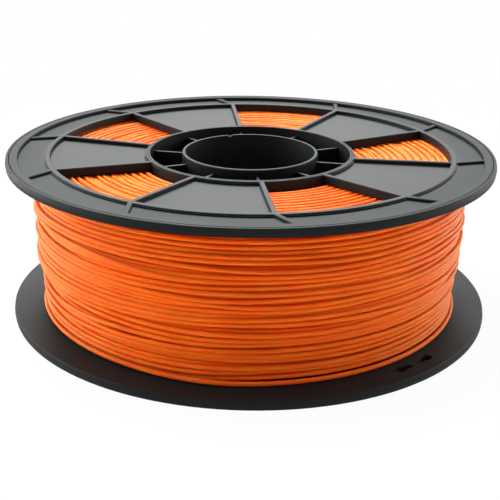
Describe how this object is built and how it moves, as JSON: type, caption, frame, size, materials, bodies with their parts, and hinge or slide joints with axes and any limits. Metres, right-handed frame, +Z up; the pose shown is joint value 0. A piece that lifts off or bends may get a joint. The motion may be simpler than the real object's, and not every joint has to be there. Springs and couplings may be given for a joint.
{
  "type": "filament spool",
  "caption": "Spool with two ribbed, windowed flanges on a webbed hub with an open bore, wound full with a round plastic strand for 3-D printing.",
  "frame": {"origin": "centre of the lower flange's rim face, on the spool's axis, where the spool rests when it lies flat", "axes": "+Z up along the spool's axis; -Y is the side that the picture is taken from, +X to its right"},
  "size_m": [0.2, 0.2, 0.067],
  "materials": {
    "flange_plastic": "black moulded plastic, satin",
    "hub_plastic": "black moulded plastic, satin",
    "filament": "orange extruded strand, semi-gloss"
  },
  "bodies": {
    "root": {"upper_flange": "flange_plastic", "lower_flange": "flange_plastic", "drum_tube": "hub_plastic", "spindle_sleeve": "hub_plastic", "hub_webs": "hub_plastic", "filament_inner_layers": "filament", "filament_outer_layer": "filament"}
  },
  "joints": []
}
